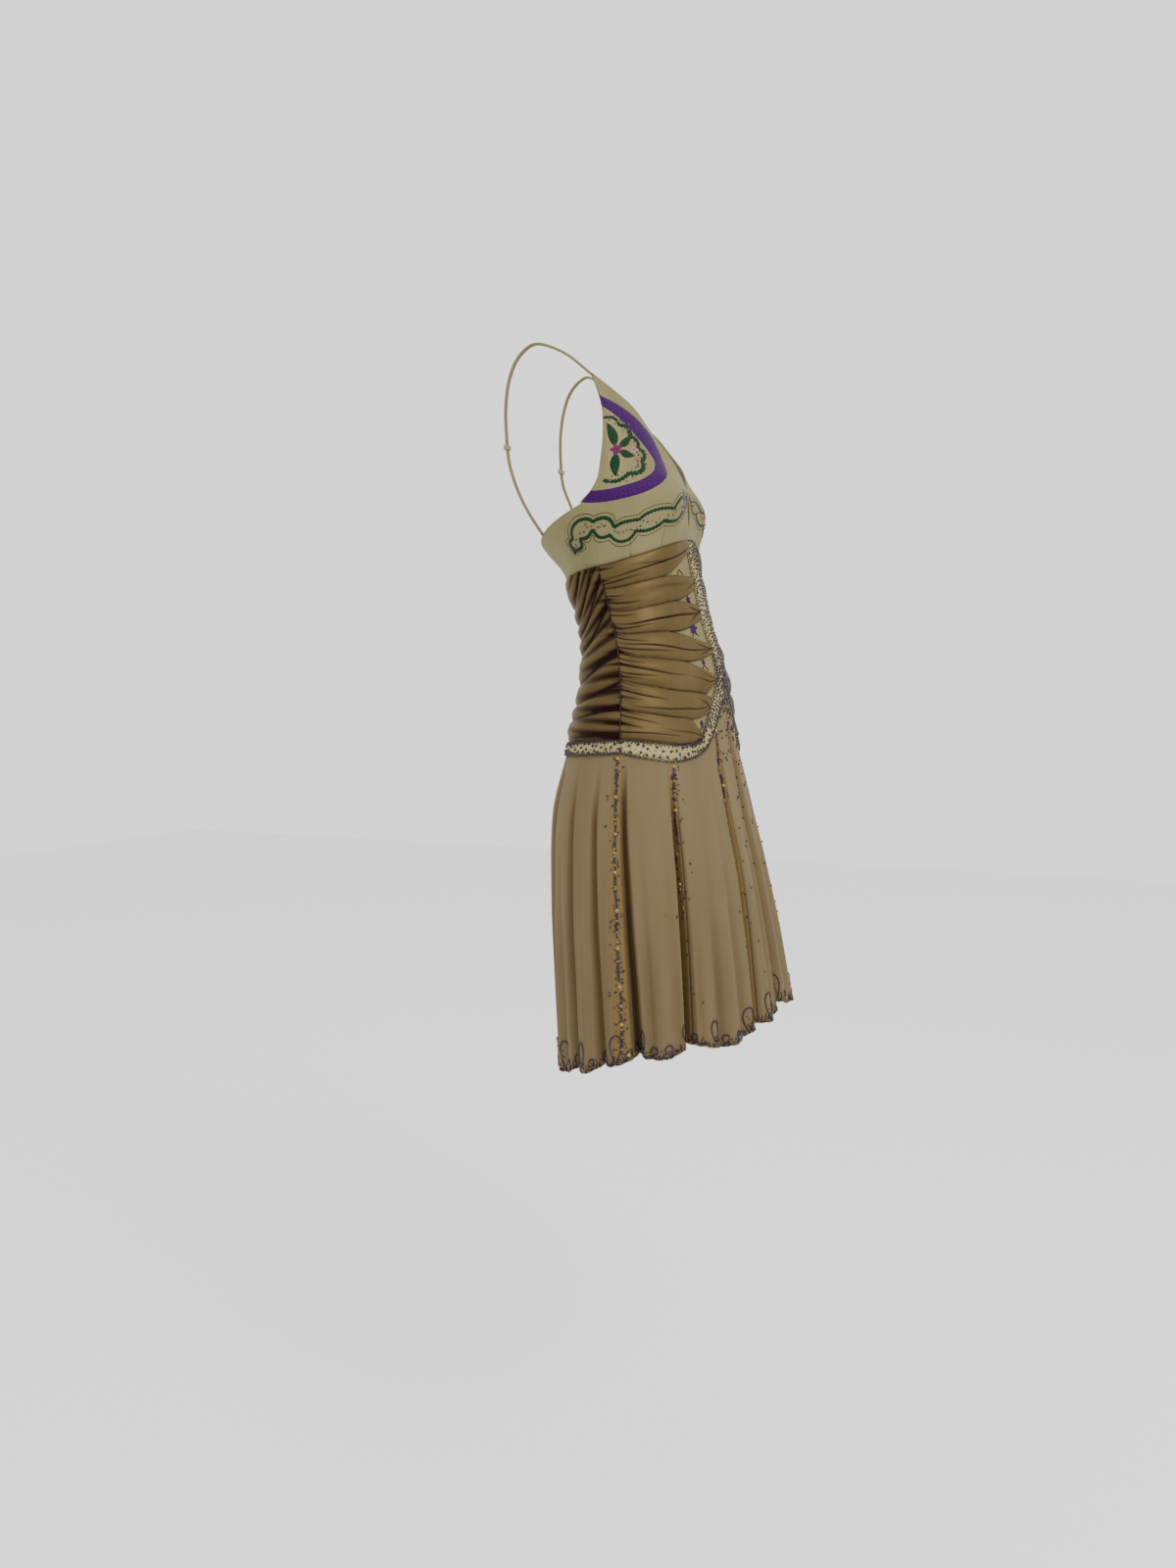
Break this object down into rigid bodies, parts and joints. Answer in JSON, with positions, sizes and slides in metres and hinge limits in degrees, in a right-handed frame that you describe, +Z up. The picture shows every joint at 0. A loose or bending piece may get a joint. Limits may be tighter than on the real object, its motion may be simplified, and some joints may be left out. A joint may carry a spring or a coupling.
{
  "type": "cocktail dress",
  "caption": "Sleeveless knee-length dress in its worn, hollow shape: cups on thin straps, a gathered sash with a beaded band, and a pleated skirt.",
  "frame": {"origin": "midway between the tops of the two shoulder straps, on their underside, where the shoulders carry the dress", "axes": "+Z up along the wearer, -Y out of the front, +X to the wearer's left"},
  "size_m": [0.4314, 0.3537, 0.9304],
  "materials": {
    "pale_satin": "pale gold satin",
    "bronze_satin": "bronze satin, gathered",
    "beaded_band": "pale silk set with small dark beads",
    "chiffon": "matte chiffon over a lining layer",
    "sequin_strip": "chiffon with scattered sequins"
  },
  "bodies": {
    "root": {"under_panel_front": "pale_satin", "bodice_front_right": "pale_satin", "bodice_back_right": "pale_satin", "sash_front_right": "bronze_satin", "sash_back_right": "bronze_satin", "band_front_right": "beaded_band", "band_back_right": "beaded_band", "strap_right": "pale_satin", "strap_slide_right": "pale_satin", "skirt_front_right": "chiffon", "skirt_side_right": "chiffon", "skirt_back_right": "chiffon", "skirt_insert_front_right": "sequin_strip", "skirt_insert_mid_right": "sequin_strip", "skirt_insert_side_right": "sequin_strip", "bodice_front_left": "pale_satin", "bodice_back_left": "pale_satin", "sash_front_left": "bronze_satin", "sash_back_left": "bronze_satin", "band_front_left": "beaded_band", "band_back_left": "beaded_band", "strap_left": "pale_satin", "strap_slide_left": "pale_satin", "skirt_front_left": "chiffon", "skirt_side_left": "chiffon", "skirt_back_left": "chiffon", "skirt_insert_front_left": "sequin_strip", "skirt_insert_mid_left": "sequin_strip", "skirt_insert_side_left": "sequin_strip", "skirt_front_centre": "chiffon"}
  },
  "joints": []
}
